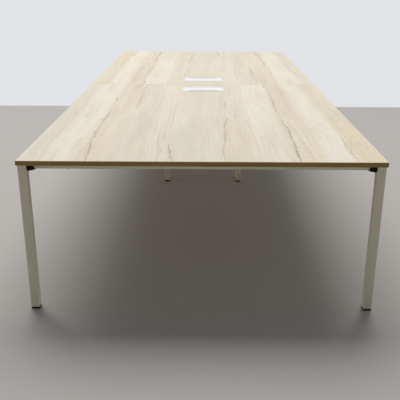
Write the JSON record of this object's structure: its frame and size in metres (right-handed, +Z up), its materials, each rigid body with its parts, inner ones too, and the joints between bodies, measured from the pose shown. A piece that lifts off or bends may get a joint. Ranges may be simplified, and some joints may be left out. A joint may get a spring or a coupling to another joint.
{
  "type": "conference table",
  "caption": "Long conference table with an oak-look top in two halves, a slim tube frame on square legs, levelling feet and hinged cable ports beside the seam.",
  "frame": {"origin": "on the floor, under the middle of the table", "axes": "+X across the table to the right as seen from the pictured end, +Y along the table away from that end, +Z up"},
  "size_m": [1.64, 4, 0.742],
  "materials": {
    "oak_laminate": "pale oak laminate, satin",
    "edge_band": "brown edge band, satin",
    "frame_paint": "off-white powder coat",
    "black_casting": "black, fine texture",
    "black_plastic": "black, matt",
    "white_plastic": "white, satin",
    "steel": "zinc-plated"
  },
  "bodies": {
    "table": {"front_edge_band": "edge_band", "front_end_rail": "frame_paint", "front_inner_rail": "frame_paint", "front_left_corner_connector": "black_casting", "front_left_corner_leg": "frame_paint", "front_left_corner_leg_insert": "black_plastic", "front_left_hinge_pin": "steel", "front_left_middle_bracket": "black_casting", "front_left_middle_leg": "frame_paint", "front_left_middle_leg_insert": "black_plastic", "front_left_rail_cap": "black_plastic", "front_left_side_rail": "frame_paint", "front_port_frame": "white_plastic", "front_right_corner_connector": "black_casting", "front_right_corner_leg": "frame_paint", "front_right_corner_leg_insert": "black_plastic", "front_right_hinge_pin": "steel", "front_right_middle_bracket": "black_casting", "front_right_middle_leg": "frame_paint", "front_right_middle_leg_insert": "black_plastic", "front_right_rail_cap": "black_plastic", "front_right_side_rail": "frame_paint", "front_top_panel": "oak_laminate", "left_link_plate": "steel", "rear_edge_band": "edge_band", "rear_end_rail": "frame_paint", "rear_inner_rail": "frame_paint", "rear_left_corner_connector": "black_casting", "rear_left_corner_leg": "frame_paint", "rear_left_corner_leg_insert": "black_plastic", "rear_left_hinge_pin": "steel", "rear_left_middle_bracket": "black_casting", "rear_left_middle_leg": "frame_paint", "rear_left_middle_leg_insert": "black_plastic", "rear_left_rail_cap": "black_plastic", "rear_left_side_rail": "frame_paint", "rear_port_frame": "white_plastic", "rear_right_corner_connector": "black_casting", "rear_right_corner_leg": "frame_paint", "rear_right_corner_leg_insert": "black_plastic", "rear_right_hinge_pin": "steel", "rear_right_middle_bracket": "black_casting", "rear_right_middle_leg": "frame_paint", "rear_right_middle_leg_insert": "black_plastic", "rear_right_rail_cap": "black_plastic", "rear_right_side_rail": "frame_paint", "rear_top_panel": "oak_laminate", "right_link_plate": "steel"},
    "front_left_corner_foot_body": {"front_left_corner_foot": "black_plastic"},
    "front_left_middle_foot_body": {"front_left_middle_foot": "black_plastic"},
    "front_right_corner_foot_body": {"front_right_corner_foot": "black_plastic"},
    "front_right_middle_foot_body": {"front_right_middle_foot": "black_plastic"},
    "rear_left_corner_foot_body": {"rear_left_corner_foot": "black_plastic"},
    "rear_left_middle_foot_body": {"rear_left_middle_foot": "black_plastic"},
    "rear_right_corner_foot_body": {"rear_right_corner_foot": "black_plastic"},
    "rear_right_middle_foot_body": {"rear_right_middle_foot": "black_plastic"},
    "front_port_lid_body": {"front_port_lid": "white_plastic"},
    "rear_port_lid_body": {"rear_port_lid": "white_plastic"}
  },
  "joints": [
    {"name": "front_port_lid_hinge", "type": "hinge", "parent": "table", "child": "front_port_lid_body", "pos_m": [0, -0.1501, 0.7395], "axis": [-1, 0, 0], "range_deg": [0, 95]},
    {"name": "rear_port_lid_hinge", "type": "hinge", "parent": "table", "child": "rear_port_lid_body", "pos_m": [0, 0.1501, 0.7395], "axis": [1, 0, 0], "range_deg": [0, 95]},
    {"name": "front_left_corner_foot_screw", "type": "slide", "parent": "table", "child": "front_left_corner_foot_body", "axis": [0, 0, -1], "range_m": [0, 0.015]},
    {"name": "front_left_middle_foot_screw", "type": "slide", "parent": "table", "child": "front_left_middle_foot_body", "axis": [0, 0, -1], "range_m": [0, 0.015]},
    {"name": "front_right_corner_foot_screw", "type": "slide", "parent": "table", "child": "front_right_corner_foot_body", "axis": [0, 0, -1], "range_m": [0, 0.015]},
    {"name": "front_right_middle_foot_screw", "type": "slide", "parent": "table", "child": "front_right_middle_foot_body", "axis": [0, 0, -1], "range_m": [0, 0.015]},
    {"name": "rear_left_corner_foot_screw", "type": "slide", "parent": "table", "child": "rear_left_corner_foot_body", "axis": [0, 0, -1], "range_m": [0, 0.015]},
    {"name": "rear_left_middle_foot_screw", "type": "slide", "parent": "table", "child": "rear_left_middle_foot_body", "axis": [0, 0, -1], "range_m": [0, 0.015]},
    {"name": "rear_right_corner_foot_screw", "type": "slide", "parent": "table", "child": "rear_right_corner_foot_body", "axis": [0, 0, -1], "range_m": [0, 0.015]},
    {"name": "rear_right_middle_foot_screw", "type": "slide", "parent": "table", "child": "rear_right_middle_foot_body", "axis": [0, 0, -1], "range_m": [0, 0.015]}
  ]
}
